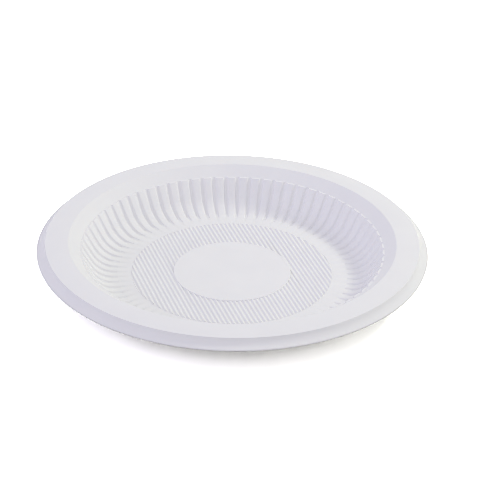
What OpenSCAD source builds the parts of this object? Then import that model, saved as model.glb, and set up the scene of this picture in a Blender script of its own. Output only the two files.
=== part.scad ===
// A round shallow disposable plate, formed as one thin sheet.
// The origin is the middle of the base, on the surface that the plate rests on, with +Z up.
// From the edge inwards: a flared skirt, a flat rim, a plain sloping band, a narrow shelf,
// a wall with recessed flutes, a flat ring, a ribbed disc and a plain raised panel.

/* [Overall] */
// Diameter over the skirt's edge, a nominal nine inches
plate_diameter = 228.6; // [216:0.1:254]
// Thickness of the formed sheet
sheet = 0.6; // [0.5:0.05:0.8]
// Height of the rim's outer edge above the table
rim_height = 23.1; // [20:0.1:27]

/* [Rim and skirt] */
// Width of the flat rim
rim_width = 13.5; // [10:0.1:16]
// How far the rim's inner edge stands above its outer edge
rim_crown = 0.5; // [0:0.1:1]
// How far the skirt flares out beyond the rim
skirt_reach = 5; // [4:0.1:6]
// How far the skirt turns down below the rim
skirt_drop = 5; // [4:0.1:6]
// Swing of the skirt's hollow curve, from steep at the rim to shallow at its edge
skirt_swing = 60; // [40:1:70]

/* [Wall] */
// Slope of the plain band under the rim, from the horizontal
band_angle = 40; // [30:1:50]
// Height of the shelf at the top of the flutes, above the table
shelf_height = 18; // [15:0.1:19]
// Width of that shelf
shelf_width = 1.1; // [1:0.1:1.5]
// Slope of the fluted wall, from the horizontal
wall_angle = 60; // [50:1:70]
// Radius of the curve from the wall down to the flat ring
wall_fillet = 15.2; // [12:0.1:18]

/* [Flutes] */
// Number of recessed flutes round the wall
flute_count = 73; // [60:1:84]
// Share of the distance from flute to flute that is a flute
flute_share = 0.33; // [0.25:0.01:0.4]
// Depth of a flute in the wall
flute_depth = 0.8; // [0.6:0.05:0.8]
// Depth that is left where a flute reaches the flat ring
flute_foot_depth = 0.35; // [0.2:0.05:0.4]
// Diameter of the circle at which a flute's floor starts to run out
flute_foot_diameter = 137; // [132:0.5:138]
// Radius of that run-out
flute_runout = 3; // [2:0.5:5]
// Turn of the first flute about the middle
flute_turn = 4.5; // [0:0.05:4.9]

/* [Base] */
// Diameter of the ribbed disc
disc_diameter = 118.2; // [100:0.1:122]
// How far the ribs' crests stand above the flat ring
disc_raise = 0.6; // [0.5:0.05:0.8]
// Distance from rib to rib
rib_pitch = 2.54; // [2.2:0.01:4]
// Depth of the valleys between ribs
rib_depth = 0.5; // [0.2:0.05:0.5]
// Share of the pitch that is a rib's flat crest, and a valley's flat floor
rib_flat_share = 0.36; // [0.3:0.01:0.45]
// Direction in which the ribs run, from the X axis
rib_direction = 108; // [90:0.5:180]
// Sideways place of the middle rib
rib_shift = 1.25; // [-1.27:0.01:1.27]
// Diameter of the plain panel
panel_diameter = 69; // [50:0.1:90]
// How far the panel stands above the ribs' crests
panel_raise = 0.2; // [0.1:0.05:0.5]
// Run of the sloped edges of the disc and the panel
edge_run = 0.25; // [0.1:0.05:0.4]

/* [Hidden] */
$fn = 72;
lap = sheet / 2;
plate_r = plate_diameter / 2;
rim_outer_r = plate_r - skirt_reach;
rim_inner_r = rim_outer_r - rim_width;
band_run = (rim_height + rim_crown - shelf_height) / tan(band_angle);
shelf_outer_r = rim_inner_r - band_run;
wall_top_r = shelf_outer_r - shelf_width;
disc_r = disc_diameter / 2;
panel_r = panel_diameter / 2;
crest_z = sheet + disc_raise;
flute_pitch = 360 / flute_count;
flute_angle = flute_share * flute_pitch;
// The flutes' backs start this far out from the foot of the wall's curve.
back_start = 1.5;
panel_z = crest_z + panel_raise;

// Square out of the wall's straight slope.
wall_out = [sin(wall_angle), -cos(wall_angle)];
// A curve is cut this much past tangent, so that it meets each line in one clean crossing.
ease = 0.001;

// The radius of the wall's straight slope, moved out by depth, at a height z.
function wall_r(depth, z) =
    wall_top_r + depth / sin(wall_angle) + (z - shelf_height) / tan(wall_angle);
// The centre of the curve that joins that slope to a level floor.
function fillet_centre(depth, floor_z, radius) =
    [wall_r(depth, floor_z) - radius * tan(wall_angle / 2), floor_z + radius];
function ray(angle) = [cos(angle), sin(angle)];
function square_to(from, to) = let (d = (to - from) / norm(to - from)) [d[1], -d[0]];
// The point where a sheet's underside turns, below the corner b of the line a, b, c.
function mitre(a, b, c) =
    let (n = square_to(a, b), m = square_to(b, c)) b + sheet * (n + m) / (1 + n * m);
// The underside of a sheet whose upper side runs through these corners.
function underside(corners) =
    let (last = len(corners) - 1) [for (i = [0 : last])
        i == 0 ? corners[0] + sheet * square_to(corners[0], corners[1]) :
        i == last ? corners[last] + sheet * square_to(corners[last - 1], corners[last]) :
        mitre(corners[i - 1], corners[i], corners[i + 1])];
function reversed(list) = [for (i = [len(list) - 1 : -1 : 0]) list[i]];

// What lies outside a circle, between two directions, out to twice its radius.
module outside_curve(centre, radius, from, to) {
    far = 2 * radius;
    translate(centre)
        difference() {
            polygon([[0, 0], far * ray(from), far * ray((from + to) / 2), far * ray(to)]);
            circle(r = radius + ease);
        }
}

// The section of the space inside the wall and its curve, moved out by depth, above a level floor.
module wall_space(from_r, depth, floor_z, top_z) {
    difference() {
        polygon([[from_r, floor_z], [wall_r(depth, floor_z), floor_z], [wall_r(depth, top_z), top_z],
            [from_r, top_z]]);
        outside_curve(fillet_centre(0, sheet, wall_fillet), wall_fillet + depth, -90, -90 + wall_angle);
    }
}

// The section turned about the middle, only as far as the width of each flute.
module round_the_wall(angle) {
    for (i = [0 : flute_count - 1])
        rotate_extrude(angle = angle, start = flute_turn + i * flute_pitch - angle / 2) children();
}

// The sheet from the ring up to the rim, with the curve between the ring and the wall.
module wall_and_rim_section(rim_edge) {
    centre = fillet_centre(0, sheet, wall_fillet);
    ring_start = [disc_r - sheet, sheet];
    rise = [[wall_top_r, shelf_height], [shelf_outer_r, shelf_height],
        [rim_inner_r, rim_height + rim_crown], rim_edge];
    under = underside(concat([ring_start, [wall_r(0, sheet), sheet]], rise));
    difference() {
        polygon(concat([ring_start, centre - [0, wall_fillet], centre, centre + wall_fillet * wall_out],
            rise, reversed(under)));
        translate(centre) circle(r = wall_fillet + ease);
        outside_curve(centre, wall_fillet + sheet, -90, -90 + wall_angle);
    }
}

// The skirt's hollow curve, from the rim's crisp edge out to its own edge.
module skirt_section(rim_edge) {
    skirt_edge = [plate_r, rim_height - skirt_drop];
    chord = skirt_edge - rim_edge;
    curve = norm(chord) / (2 * sin(skirt_swing / 2));
    from = atan2(chord[1], chord[0]) - skirt_swing / 2 - 90;
    far = 2 * curve;
    translate(rim_edge - curve * ray(from))
        intersection() {
            difference() {
                circle(r = curve + sheet);
                circle(r = curve);
            }
            polygon([[0, 0], far * ray(from), far * ray(from + skirt_swing / 2), far * ray(from + skirt_swing)]);
        }
}

module disc_edge_section() {
    polygon([[disc_r - sheet, 0], [disc_r + sheet, 0], [disc_r + edge_run, sheet], [disc_r, crest_z],
        [disc_r - sheet, crest_z]]);
}

module wall_rim_and_skirt() {
    rim_edge = [rim_outer_r, rim_height];
    rotate_extrude() {
        disc_edge_section();
        wall_and_rim_section(rim_edge);
        skirt_section(rim_edge);
    }
}

// Under each flute the sheet stands out of the wall by the same depth.
module flute_backs() {
    start = fillet_centre(0, sheet, wall_fillet)[0] + back_start;
    round_the_wall(flute_angle + 2 * sheet / wall_top_r * 180 / PI)
        difference() {
            wall_space(start, flute_depth + sheet, 0, shelf_height - lap);
            wall_space(start - 1, lap, lap, shelf_height);
        }
}

module flutes() {
    foot = [flute_foot_diameter / 2, sheet - flute_foot_depth];
    round_the_wall(flute_angle) {
        wall_space(foot[0], flute_depth, foot[1], shelf_height + lap);
        translate(foot + [0, flute_runout]) circle(r = flute_runout + ease);
    }
}

module ribbed_disc() {
    half = ceil(disc_r / rib_pitch);
    flat = rib_flat_share * rib_pitch / 2;
    wave = [for (i = [-half : half], k = [-1, 1])
        each let (x = i * rib_pitch) k < 0 ?
            [[x - rib_pitch / 2 + flat, -rib_depth], [x - flat, 0]] :
            [[x + flat, 0], [x + rib_pitch / 2 - flat, -rib_depth]]];
    last = len(wave) - 1;
    intersection() {
        rotate(rib_direction - 90)
            translate([rib_shift, disc_r, crest_z])
                rotate([90, 0, 0])
                    linear_extrude(2 * disc_r)
                        polygon(concat(wave, [for (i = [last : -1 : 0]) wave[i] - [0, sheet]]));
        difference() {
            cylinder(r = disc_r - lap, h = panel_z);
            translate([0, 0, -1]) cylinder(r = panel_r - lap, h = panel_z + 2);
        }
    }
}

module panel() {
    low = crest_z - rib_depth - sheet;
    rotate_extrude()
        polygon([[0, panel_z - sheet], [panel_r - sheet, panel_z - sheet], [panel_r - sheet, low],
            [panel_r + edge_run, low], [panel_r + edge_run, crest_z - rib_depth], [panel_r, panel_z], [0, panel_z]]);
}

module plate() {
    color("white") {
        difference() {
            union() {
                wall_rim_and_skirt();
                flute_backs();
            }
            flutes();
        }
        ribbed_disc();
        panel();
    }
}

plate();
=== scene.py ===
"""A disposable plate of formed starch sheet, on a white studio floor.

All sizes are in metres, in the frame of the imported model: the origin is the middle of the
base, on the floor, with +Z up. The plate's mesh is one flute's pitch of a spun section, shaped
between land and flute and repeated round, with a ribbed sheet and a plain panel in the middle.
"""
import math

import bmesh
import bpy
from mathutils import Matrix, Vector


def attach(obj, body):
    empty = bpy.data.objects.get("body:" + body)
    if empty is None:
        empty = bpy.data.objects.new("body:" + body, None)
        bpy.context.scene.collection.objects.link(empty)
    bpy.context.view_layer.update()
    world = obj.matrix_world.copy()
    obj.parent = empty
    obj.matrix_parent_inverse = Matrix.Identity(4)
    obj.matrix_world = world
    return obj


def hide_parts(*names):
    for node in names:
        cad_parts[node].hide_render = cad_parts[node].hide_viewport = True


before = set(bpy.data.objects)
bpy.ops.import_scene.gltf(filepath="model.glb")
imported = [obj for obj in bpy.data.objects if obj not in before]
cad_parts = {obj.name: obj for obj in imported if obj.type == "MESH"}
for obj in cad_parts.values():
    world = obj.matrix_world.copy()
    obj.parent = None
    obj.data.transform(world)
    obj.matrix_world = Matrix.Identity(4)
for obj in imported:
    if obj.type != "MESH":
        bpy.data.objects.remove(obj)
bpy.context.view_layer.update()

MM = 0.001
FULL_TURN = 2 * math.pi

# How the mesh is made: the distance at which doubles merge, and the note on each vertex of a spun section
MERGE_MM = 0.0001
POINT_NOTE = "section_point"

# The plate's sizes, in millimetres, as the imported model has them
PLATE_R = 114.3
SHEET = 0.6
RIM_HEIGHT = 23.1
RIM_CROWN = 0.5
RIM_WIDTH = 13.5
SKIRT_REACH = 5.0
SKIRT_DROP = 5.0
SKIRT_SWING = math.radians(60)
BAND_ANGLE = math.radians(40)
SHELF_HEIGHT = 18.0
SHELF_WIDTH = 1.1
WALL_ANGLE = math.radians(60)
WALL_FILLET = 15.2
WALL_STEPS = 12
WALL_BACK_STEPS = 8
SKIRT_STEPS = 7

# The roundings of its corners, each a radius and the steps of its arc
SHELF_FOOT_ROUND = (0.18, 3)
SHELF_BACK_ROUND = (0.25, 3)
RIM_INNER_ROUND = (1.0, 4)
RIM_OUTER_ROUND = (0.3, 4)
RIM_INNER_BACK_ROUND = (0.6, 3)
RIM_OUTER_BACK_ROUND = (0.3, 3)
SHELF_UNDER_ROUND = (0.2, 3)
SHELF_FOOT_UNDER_ROUND = (0.1, 3)
DISC_EDGE_ROUND = (0.12, 3)
DISC_UNDER_ROUND = (0.2, 3)
SHARP = (0, 0)

# How far the corners under the rim and the shelf stand off those above
RIM_INNER_SHIFT = 0.2
RIM_OUTER_SHIFT = 0.45
SHELF_FOOT_ROOM = 0.2

# The flutes
FLUTES = 73
FLUTE_TURN = math.radians(4.5)
FLUTE_DEPTH = 1.25
FLUTE_TOP_DEPTH = 0.9
FLUTE_FOOT_DEPTH = 0.55
FLUTE_FOOT_R = 68.5
FLUTE_RUNOUT = 1.1
FLUTE_RUNOUT_MIDDLE = 0.6
FLUTE_RUNOUT_DROP = 0.5

# The base
DISC_R = 59.1
DISC_RAISE = 0.6
DISC_EDGE_FLAT = 0.05
EDGE_RUN = 0.25
LIP_WIDTH = 0.3
LIP_DIP = 0.1
RIB_PITCH = 2.54
RIB_DEPTH = 0.72
RIB_BACK_SHARE = 0.6
RIB_RUNOUT = 0.7
RIB_RUNOUT_SHARE = 0.45
RIB_SQUARENESS = -0.06
RIB_STEPS = 16
RIB_END_INSET = 0.35
RIB_BACK_END_INSET = 0.3
RIBBED_POINTS = 3
EDGE_CLEAR = 0.2
RIB_DIRECTION = math.radians(108)
RIB_SHIFT = 1.25
PANEL_R = 34.5
PANEL_RAISE = 0.2
PANEL_STEPS = 256
PANEL_FOOT_DROP = 0.05
PANEL_LEVEL_RUN = 0.8
PANEL_EDGE_ROUND = (0.15, 3)
PANEL_BACK_ROUND = (0.1, 2)

RIM_OUTER_R = PLATE_R - SKIRT_REACH
RIM_INNER_R = RIM_OUTER_R - RIM_WIDTH
SHELF_OUTER_R = RIM_INNER_R - (RIM_HEIGHT + RIM_CROWN - SHELF_HEIGHT) / math.tan(BAND_ANGLE)
WALL_TOP_R = SHELF_OUTER_R - SHELF_WIDTH
CREST_Z = SHEET + DISC_RAISE
PANEL_Z = CREST_Z + PANEL_RAISE
RIB_BACK_Z = CREST_Z - SHEET - RIB_BACK_SHARE * RIB_DEPTH
RIB_END_R = DISC_R - RIB_END_INSET
RIB_BACK_END_R = DISC_R - RIB_BACK_END_INSET
RIB_MIDDLE_R = (PANEL_R + DISC_R) / 2

# Where the columns of the wall's mesh stand within one flute's pitch, and how deep each is
COLUMNS = [(0.0, 1.0), (0.07, 0.98), (0.12, 0.86), (0.16, 0.5),
           (0.195, 0.15), (0.235, 0.02), (0.36, -0.04), (0.5, -0.06)]
BACK_COLUMNS = [(0.0, 1.0), (0.08, 0.98), (0.14, 0.86), (0.2, 0.5),
                (0.25, 0.18), (0.3, 0.03), (0.4, -0.03), (0.5, -0.05)]

# The starch sheet's look, with the sizes of its grain in metres
STARCH_IOR = 1.46
STARCH_SHINE = 0.15
STARCH_GLOW = 0.1
STARCH_GLOW_REACH = (1.0, 0.9, 0.8)
STARCH_GLOW_DEPTH = 0.0003
STARCH_DARK = (0.855, 0.853, 0.865, 1)
STARCH_PALE = (0.875, 0.873, 0.88, 1)
STARCH_ROUGHNESS = (0.58, 0.68)
CLOUD_SCALE = 45
CLOUD_DETAIL = 3
CLOUD_SPAN = (0.3, 0.7)
GRAIN_SCALE = 1600
GRAIN_DETAIL = 2
GRAIN_STRENGTH = 0.12
GRAIN_DEPTH = 0.00008

# The camera, as fitted to the circles of the plate in the photograph
CAMERA_BACK = 0.9216
CAMERA_UP = 0.5111 + RIM_HEIGHT * MM
CAMERA_PITCH = 0.50721
CAMERA_YAW = 0.00472
CAMERA_ROLL = 0.01912
LENS = 135.0
SENSOR = 36.0
PIXEL_FILTER = 0.8

# The floor, with painted shade: dark under the plate and bright beyond it, on top of the plate's real shadow
FLOOR_BOUNCE_PAINTED_SHADE = 0.03
FLOOR_BOUNCE_OPEN = 0.55
FLOOR_BOUNCE_RUN = (0.100, 0.125)
FLOOR_SHOWN_PAINTED_SHADE = 1.8
FLOOR_SHOWN_OPEN = 3.3
FLOOR_SHOWN_RUN = (0.082, 0.097)
FLOOR_TINT = (1.0, 1.0, 0.93)
FLOOR_SIZE = 12

# The even light of the room
SKY = (0.66, 0.658, 0.679, 1)


def wall_r(depth, z):
    """The radius of the wall's straight slope, moved out by depth."""
    return WALL_TOP_R + depth / math.sin(WALL_ANGLE) + (z - SHELF_HEIGHT) / math.tan(WALL_ANGLE)


def wall_curve(depth, floor, thick, steps):
    """The curve from a level floor up to the wall's slope, at a depth and thickness outside the wall."""
    radius = WALL_FILLET + depth + thick
    middle = Vector((wall_r(0, SHEET) - WALL_FILLET * math.tan(WALL_ANGLE / 2), SHEET + WALL_FILLET))
    first = math.acos(min((middle.y - floor) / radius, 1))
    angles = [first + (WALL_ANGLE - first) * k / steps for k in range(steps + 1)]
    return [(middle.x + radius * math.sin(a), middle.y - radius * math.cos(a), *SHARP) for a in angles]


def rounded(corners):
    """A line through the corners, each (radius, z, rounding, steps), with an arc at each rounding."""
    points = []
    for i, (r, z, rounding, steps) in enumerate(corners):
        here = Vector((r, z))
        if steps == 0:
            points.append(here)
            continue
        before = Vector(corners[i - 1][:2]) - here
        after = Vector(corners[i + 1][:2]) - here
        half = before.angle(after) / 2
        cut = rounding / math.tan(half)
        middle = here + (before.normalized() + after.normalized()).normalized() * rounding / math.sin(half)
        start = here + before.normalized() * cut - middle
        end = here + after.normalized() * cut - middle
        swing = math.atan2(start.x * end.y - start.y * end.x, start.dot(end))
        for k in range(steps + 1):
            turn = swing * k / steps
            points.append(middle + Vector((start.x * math.cos(turn) - start.y * math.sin(turn),
                                           start.x * math.sin(turn) + start.y * math.cos(turn))))
    return points


def skirt_curve(thick):
    """The skirt's hollow curve, from the rim's edge out to the skirt's edge."""
    start = Vector((RIM_OUTER_R, RIM_HEIGHT))
    chord = Vector((SKIRT_REACH, -SKIRT_DROP))
    curve = chord.length / (2 * math.sin(SKIRT_SWING / 2))
    first = math.atan2(chord.y, chord.x) - SKIRT_SWING / 2 - math.pi / 2
    centre = start - curve * Vector((math.cos(first), math.sin(first)))
    angles = [first + SKIRT_SWING * k / SKIRT_STEPS for k in range(SKIRT_STEPS + 1)]
    return [centre + (curve + thick) * Vector((math.cos(a), math.sin(a))) for a in angles]


def section(depth):
    """The plate's section from the disc's edge out over the rim, round the skirt's edge and back under."""
    foot = FLUTE_FOOT_DEPTH if depth else 0.0
    upper = [
        (RIB_END_R - LIP_WIDTH, CREST_Z - LIP_DIP, *SHARP),
        (RIB_END_R, CREST_Z, *SHARP),
        (DISC_R - DISC_EDGE_FLAT, CREST_Z, *SHARP),
        (DISC_R + EDGE_RUN, SHEET, *DISC_EDGE_ROUND),
        (FLUTE_FOOT_R - FLUTE_RUNOUT, SHEET, *SHARP),
        (FLUTE_FOOT_R - FLUTE_RUNOUT_MIDDLE * FLUTE_RUNOUT, SHEET - FLUTE_RUNOUT_DROP * foot, *SHARP),
        (FLUTE_FOOT_R, SHEET - foot, *SHARP),
    ]
    upper += wall_curve(depth, SHEET - foot, 0, WALL_STEPS)
    upper += [
        (wall_r(min(depth, FLUTE_TOP_DEPTH), SHELF_HEIGHT), SHELF_HEIGHT, *SHELF_FOOT_ROUND),
        (SHELF_OUTER_R, SHELF_HEIGHT, *SHELF_BACK_ROUND),
        (RIM_INNER_R, RIM_HEIGHT + RIM_CROWN, *RIM_INNER_ROUND),
        (RIM_OUTER_R, RIM_HEIGHT, *RIM_OUTER_ROUND),
    ]
    upper += [(p.x, p.y, *SHARP) for p in skirt_curve(0)[1:]]
    under = [(p.x, p.y, *SHARP) for p in reversed(skirt_curve(SHEET)[1:])]
    low = SHELF_HEIGHT - SHEET
    band = SHEET / math.sin(BAND_ANGLE)
    under += [
        (RIM_OUTER_R - RIM_OUTER_SHIFT, RIM_HEIGHT - SHEET, *RIM_OUTER_BACK_ROUND),
        (RIM_INNER_R + RIM_INNER_SHIFT, RIM_HEIGHT + RIM_CROWN - SHEET, *RIM_INNER_BACK_ROUND),
        (SHELF_OUTER_R + band - SHEET / math.tan(BAND_ANGLE), low, *SHELF_UNDER_ROUND),
        (min(wall_r(depth + SHEET, low), SHELF_OUTER_R + SHELF_FOOT_ROOM), low, *SHELF_FOOT_UNDER_ROUND),
    ]
    under += wall_curve(depth, 0, SHEET, WALL_BACK_STEPS)[::-1]
    under += [
        (DISC_R - SHEET, 0, *DISC_UNDER_ROUND),
        (DISC_R - SHEET, RIB_BACK_Z, *SHARP),
    ]
    return rounded(upper), rounded(under)


def spin_section(bm, points, angle, steps, closed):
    """Spins a line of (radius, z) points about the middle, and notes on each vertex which point it is."""
    note = bm.verts.layers.int.get(POINT_NOTE) or bm.verts.layers.int.new(POINT_NOTE)
    before = set(bm.verts)
    line = [bm.verts.new((r * MM, 0, z * MM)) for r, z in points]
    for i, vertex in enumerate(line):
        vertex[note] = i
    edges = [bm.edges.new(pair) for pair in zip(line, line[1:])]
    if closed:
        edges.append(bm.edges.new((line[-1], line[0])))
    bmesh.ops.spin(bm, geom=line + edges, cent=(0, 0, 0), axis=(0, 0, 1), dvec=(0, 0, 0), angle=angle,
                   steps=steps, use_merge=angle == FULL_TURN, use_normal_flip=False, use_duplicate=False)
    return [vertex for vertex in bm.verts if vertex not in before]


def add_shell(bm):
    """The turned part, from the disc's edge to the skirt: one flute's pitch, shaped and repeated round."""
    land_top, land_under = section(0)
    flute_top, flute_under = section(FLUTE_DEPTH)
    land = land_top + land_under[:-1]
    flute = flute_top + flute_under[:-1]
    top_places = flute_places(COLUMNS)
    under_places = flute_places(BACK_COLUMNS)
    steps = len(top_places) - 1
    pitch = FULL_TURN / FLUTES
    sector = spin_section(bm, land, pitch, steps, closed=True)
    note = bm.verts.layers.int[POINT_NOTE]
    for vertex in sector:
        point = vertex[note]
        column = round(math.atan2(vertex.co.y, vertex.co.x) / pitch * steps)
        place, share = (top_places if point < len(land_top) else under_places)[column]
        r, z = land[point].lerp(flute[point], share)
        turn = place * pitch
        vertex.co = Vector((r * math.cos(turn), r * math.sin(turn), z)) * MM
    shell = repeat_round(bm, sector, FLUTES, FLUTE_TURN)
    for vertex in shell:
        if vertex[note] < RIBBED_POINTS:
            drop_to_rib(vertex)
    bmesh.ops.remove_doubles(bm, verts=shell, dist=MERGE_MM * MM)


def flute_places(shares):
    """The columns of one flute's pitch in their order, each with its place in the pitch and its depth."""
    return [(-place, share) for place, share in reversed(shares[1:])] + shares


def repeat_round(bm, piece, count, first_turn):
    """Turns a piece, given by its vertices, by the first turn, and repeats it round the middle."""
    faces = {face for vertex in piece for face in vertex.link_faces}
    edges = {edge for vertex in piece for edge in vertex.link_edges}
    geom = piece + list(edges) + list(faces)
    every = list(piece)
    for i in range(1, count):
        made = bmesh.ops.duplicate(bm, geom=geom)["geom"]
        copy = [element for element in made if isinstance(element, bmesh.types.BMVert)]
        turn = Matrix.Rotation(i * FULL_TURN / count, 3, "Z")
        bmesh.ops.rotate(bm, verts=copy, cent=(0, 0, 0), matrix=turn)
        every += copy
    bmesh.ops.rotate(bm, verts=every, cent=(0, 0, 0), matrix=Matrix.Rotation(first_turn, 3, "Z"))
    return every


def drop_to_rib(vertex):
    """Lowers a point near the disc's edge to the ribs, but at the edge itself not below the ring."""
    x, y = vertex.co.x / MM, vertex.co.y / MM
    across = x * math.sin(RIB_DIRECTION) - y * math.cos(RIB_DIRECTION)
    z = vertex.co.z / MM + rib_wave(across)
    if math.hypot(x, y) > DISC_R - EDGE_CLEAR:
        z = max(z, SHEET)
    vertex.co.z = z * MM


def rib_stops(across, reach):
    """The stops along a straight rib from the panel to the disc's edge, each with its share of depth."""
    outer = math.sqrt(max(reach ** 2 - across ** 2, 0))
    inner = math.sqrt(max((PANEL_R - SHEET / 2) ** 2 - across ** 2, 0))
    if inner == 0:
        return (0, 1), (outer / 2, 1), (outer, 1)
    return (inner, RIB_RUNOUT_SHARE), (inner + SHEET / 2 + RIB_RUNOUT, 1), (outer, 1)


def rib_wave(across):
    """How far the ribbed sheet lies below its crests, at a distance across the ribs."""
    turn = FULL_TURN * (across - RIB_SHIFT) / RIB_PITCH
    wave = math.cos(turn) + RIB_SQUARENESS * math.cos(3 * turn)
    return RIB_DEPTH / 2 * (wave / (1 + RIB_SQUARENESS) - 1)


def add_ribs(bm, side, under):
    """Half of the ribbed sheet's upper or under side: a grid, fitted round the panel and waved."""
    lift, share, reach = (-SHEET, RIB_BACK_SHARE, RIB_BACK_END_R) if under else (0, 1, RIB_END_R)
    columns = math.ceil(2 * reach / RIB_PITCH * RIB_STEPS)
    made = bmesh.ops.create_grid(bm, x_segments=columns, y_segments=2, size=1)["verts"]
    turn = Matrix.Rotation(RIB_DIRECTION - math.pi / 2, 2)
    for vertex in made:
        across = vertex.co.x * reach
        along, depth = rib_stops(across, reach)[round(vertex.co.y) + 1]
        place = turn @ Vector((across, side * along))
        z = CREST_Z + depth * share * rib_wave(across) + lift
        vertex.co = Vector((place.x, place.y, z)) * MM
    return made


def add_ribbed_sheet(bm):
    """The ribbed sheet round the panel, its two sides joined inside the panel and the disc's edge."""
    made = []
    for side in (1, -1):
        for under in (False, True):
            made += add_ribs(bm, side, under)
    bmesh.ops.remove_doubles(bm, verts=made, dist=MERGE_MM * MM)
    for beside_panel in (True, False):
        ends = [edge for edge in bm.edges if edge.is_boundary
                and (edge.verts[0].co.xy.length < RIB_MIDDLE_R * MM) == beside_panel]
        for edge in ends:
            edge.smooth = False
        bmesh.ops.bridge_loops(bm, edges=ends)


def add_panel(bm):
    """The plain panel in the middle, with its sloped edge, closed underneath."""
    low = RIB_BACK_Z - PANEL_FOOT_DROP
    edge = rounded([
        (0, PANEL_Z - SHEET, *SHARP),
        (PANEL_R - SHEET, PANEL_Z - SHEET, *PANEL_BACK_ROUND),
        (PANEL_R - SHEET, low, *SHARP),
        (PANEL_R + EDGE_RUN, low, *PANEL_BACK_ROUND),
        (PANEL_R + EDGE_RUN, CREST_Z - RIB_DEPTH, *SHARP),
        (PANEL_R, PANEL_Z, *PANEL_EDGE_ROUND),
        (PANEL_R - PANEL_LEVEL_RUN, PANEL_Z, *SHARP),
        (0, PANEL_Z, *SHARP),
    ])
    panel = spin_section(bm, edge, FULL_TURN, PANEL_STEPS, closed=False)
    bmesh.ops.remove_doubles(bm, verts=panel, dist=MERGE_MM * MM)


def make_plate():
    """The whole plate as one object, its surfaces closed and facing outwards."""
    mesh = bpy.data.meshes.new("plate_sheet")
    bm = bmesh.new()
    add_panel(bm)
    add_shell(bm)
    add_ribbed_sheet(bm)
    bmesh.ops.recalc_face_normals(bm, faces=bm.faces)
    for face in bm.faces:
        face.smooth = True
    bm.to_mesh(mesh)
    bm.free()
    plate = bpy.data.objects.new("plate_sheet", mesh)
    bpy.context.scene.collection.objects.link(plate)
    return plate


def starch_sheet():
    """White starch-blend sheet: satin, faintly translucent, with a fine moulded grain."""
    material = bpy.data.materials.new("starch_sheet")
    material.use_nodes = True
    nodes = material.node_tree.nodes
    links = material.node_tree.links
    shader = nodes["Principled BSDF"]
    shader.inputs["IOR"].default_value = STARCH_IOR
    shader.inputs["Specular IOR Level"].default_value = STARCH_SHINE
    shader.inputs["Subsurface Weight"].default_value = STARCH_GLOW
    shader.inputs["Subsurface Radius"].default_value = STARCH_GLOW_REACH
    shader.inputs["Subsurface Scale"].default_value = STARCH_GLOW_DEPTH

    place = nodes.new("ShaderNodeTexCoord")
    cloud = nodes.new("ShaderNodeTexNoise")
    cloud.inputs["Scale"].default_value = CLOUD_SCALE
    cloud.inputs["Detail"].default_value = CLOUD_DETAIL
    links.new(place.outputs["Object"], cloud.inputs["Vector"])
    tone = nodes.new("ShaderNodeValToRGB")
    for stop, position, colour in zip(tone.color_ramp.elements, CLOUD_SPAN, (STARCH_DARK, STARCH_PALE)):
        stop.position = position
        stop.color = colour
    links.new(cloud.outputs["Fac"], tone.inputs["Fac"])
    links.new(tone.outputs["Color"], shader.inputs["Base Color"])

    gloss = nodes.new("ShaderNodeMapRange")
    gloss.inputs["To Min"].default_value, gloss.inputs["To Max"].default_value = STARCH_ROUGHNESS
    links.new(cloud.outputs["Fac"], gloss.inputs["Value"])
    links.new(gloss.outputs["Result"], shader.inputs["Roughness"])

    grain = nodes.new("ShaderNodeTexNoise")
    grain.inputs["Scale"].default_value = GRAIN_SCALE
    grain.inputs["Detail"].default_value = GRAIN_DETAIL
    links.new(place.outputs["Object"], grain.inputs["Vector"])
    bump = nodes.new("ShaderNodeBump")
    bump.inputs["Strength"].default_value = GRAIN_STRENGTH
    bump.inputs["Distance"].default_value = GRAIN_DEPTH
    links.new(grain.outputs["Fac"], bump.inputs["Height"])
    links.new(bump.outputs["Normal"], shader.inputs["Normal"])
    return material


def painted_shade_floor_shader(nodes, links, run, under, open_floor):
    """A matt shader that goes from one brightness to another between two distances from the middle, to paint
    shade on the floor under the plate.
    """
    place = nodes.new("ShaderNodeTexCoord")
    distance = nodes.new("ShaderNodeVectorMath")
    distance.operation = "LENGTH"
    links.new(place.outputs["Object"], distance.inputs[0])
    painted_shade_ramp = nodes.new("ShaderNodeMapRange")
    painted_shade_ramp.inputs["From Min"].default_value, painted_shade_ramp.inputs["From Max"].default_value = run
    painted_shade_ramp.inputs["To Min"].default_value = under
    painted_shade_ramp.inputs["To Max"].default_value = open_floor
    links.new(distance.outputs["Value"], painted_shade_ramp.inputs["Value"])
    tint = nodes.new("ShaderNodeVectorMath")
    tint.operation = "SCALE"
    tint.inputs[0].default_value = FLOOR_TINT
    links.new(painted_shade_ramp.outputs["Result"], tint.inputs["Scale"])
    shader = nodes.new("ShaderNodeBsdfDiffuse")
    links.new(tint.outputs["Vector"], shader.inputs["Color"])
    return shader


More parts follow.
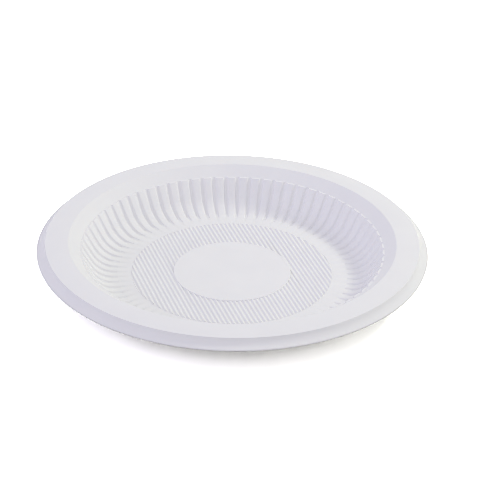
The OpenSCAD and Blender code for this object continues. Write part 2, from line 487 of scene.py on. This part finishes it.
def make_floor():
    """A wide pale floor that shows as white to the camera and mirrors, apart from the plate's own shadow,
    which painted shade under the plate deepens.
    """
    bpy.ops.mesh.primitive_plane_add(size=FLOOR_SIZE, location=(0, 0, 0))
    floor = bpy.context.object
    floor.name = "floor"
    material = bpy.data.materials.new("floor_white")
    material.use_nodes = True
    nodes = material.node_tree.nodes
    links = material.node_tree.links
    nodes.clear()
    # Painted shade: the light the floor bounces is much darker under the plate than beyond it
    bounce = painted_shade_floor_shader(nodes, links, FLOOR_BOUNCE_RUN, FLOOR_BOUNCE_PAINTED_SHADE, FLOOR_BOUNCE_OPEN)
    # Painted shade: the floor as the camera and mirrors see it is darker under the plate than beyond it
    shown = painted_shade_floor_shader(nodes, links, FLOOR_SHOWN_RUN, FLOOR_SHOWN_PAINTED_SHADE, FLOOR_SHOWN_OPEN)
    ray = nodes.new("ShaderNodeLightPath")
    seen = ray.outputs["Is Camera Ray"]
    for kind in ("Is Glossy Ray", "Is Transmission Ray"):
        either = nodes.new("ShaderNodeMath")
        either.operation = "MAXIMUM"
        links.new(seen, either.inputs[0])
        links.new(ray.outputs[kind], either.inputs[1])
        seen = either.outputs["Value"]
    mix = nodes.new("ShaderNodeMixShader")
    output = nodes.new("ShaderNodeOutputMaterial")
    links.new(seen, mix.inputs["Fac"])
    links.new(bounce.outputs["BSDF"], mix.inputs[1])
    links.new(shown.outputs["BSDF"], mix.inputs[2])
    links.new(mix.outputs["Shader"], output.inputs["Surface"])
    floor.data.materials.append(material)


def area_light(name, turn, rise, reach, size, watts, colour):
    """A round soft light that faces the plate, from a direction about it and above the floor."""
    turn, rise = math.radians(turn), math.radians(rise)
    place = reach * Vector((math.cos(rise) * math.cos(turn), math.cos(rise) * math.sin(turn), math.sin(rise)))
    lamp = bpy.data.lights.new(name, "AREA")
    lamp.shape = "DISK"
    lamp.size = size
    lamp.energy = watts
    lamp.color = colour
    holder = bpy.data.objects.new(name, lamp)
    holder.location = place
    holder.rotation_euler = (-place).to_track_quat("-Z", "Y").to_euler()
    bpy.context.scene.collection.objects.link(holder)


def make_lights():
    """An even neutral sky, a warm key from the back right and lavender fills from the left and front."""
    world = bpy.data.worlds.new("studio")
    bpy.context.scene.world = world
    world.use_nodes = True
    background = world.node_tree.nodes["Background"]
    background.inputs["Color"].default_value = SKY
    background.inputs["Strength"].default_value = 1.0
    area_light("key", turn=28, rise=40, reach=1.6, size=0.3, watts=7.2, colour=(0.98, 1.0, 0.83))
    area_light("fill_left", turn=185, rise=25, reach=2.5, size=1.8, watts=9.2, colour=(0.63, 0.56, 1.0))
    area_light("fill_front", turn=270, rise=30, reach=2.5, size=1.8, watts=4.9, colour=(0.71, 0.63, 1.0))


def make_camera():
    """The camera at the photograph's viewing angle, from its pitch, yaw and roll."""
    level = math.cos(CAMERA_PITCH)
    ahead = Vector((math.sin(CAMERA_YAW) * level, math.cos(CAMERA_YAW) * level, -math.sin(CAMERA_PITCH)))
    right = Vector((math.cos(CAMERA_YAW), -math.sin(CAMERA_YAW), 0))
    up = right.cross(ahead)
    rolled_right = math.cos(CAMERA_ROLL) * right + math.sin(CAMERA_ROLL) * up
    rolled_up = -math.sin(CAMERA_ROLL) * right + math.cos(CAMERA_ROLL) * up
    turn = Matrix((rolled_right, rolled_up, -ahead)).transposed().to_4x4()
    data = bpy.data.cameras.new("photo_camera")
    data.lens = LENS
    data.sensor_width = SENSOR
    camera = bpy.data.objects.new("photo_camera", data)
    camera.matrix_world = Matrix.Translation((0, -CAMERA_BACK, CAMERA_UP)) @ turn
    bpy.context.scene.collection.objects.link(camera)
    bpy.context.scene.camera = camera


plate = make_plate()
plate.data.materials.append(starch_sheet())
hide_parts("plate")
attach(plate, "root")
make_floor()
make_lights()
make_camera()
bpy.context.scene.view_settings.view_transform = "Standard"
bpy.context.scene.cycles.filter_width = PIXEL_FILTER
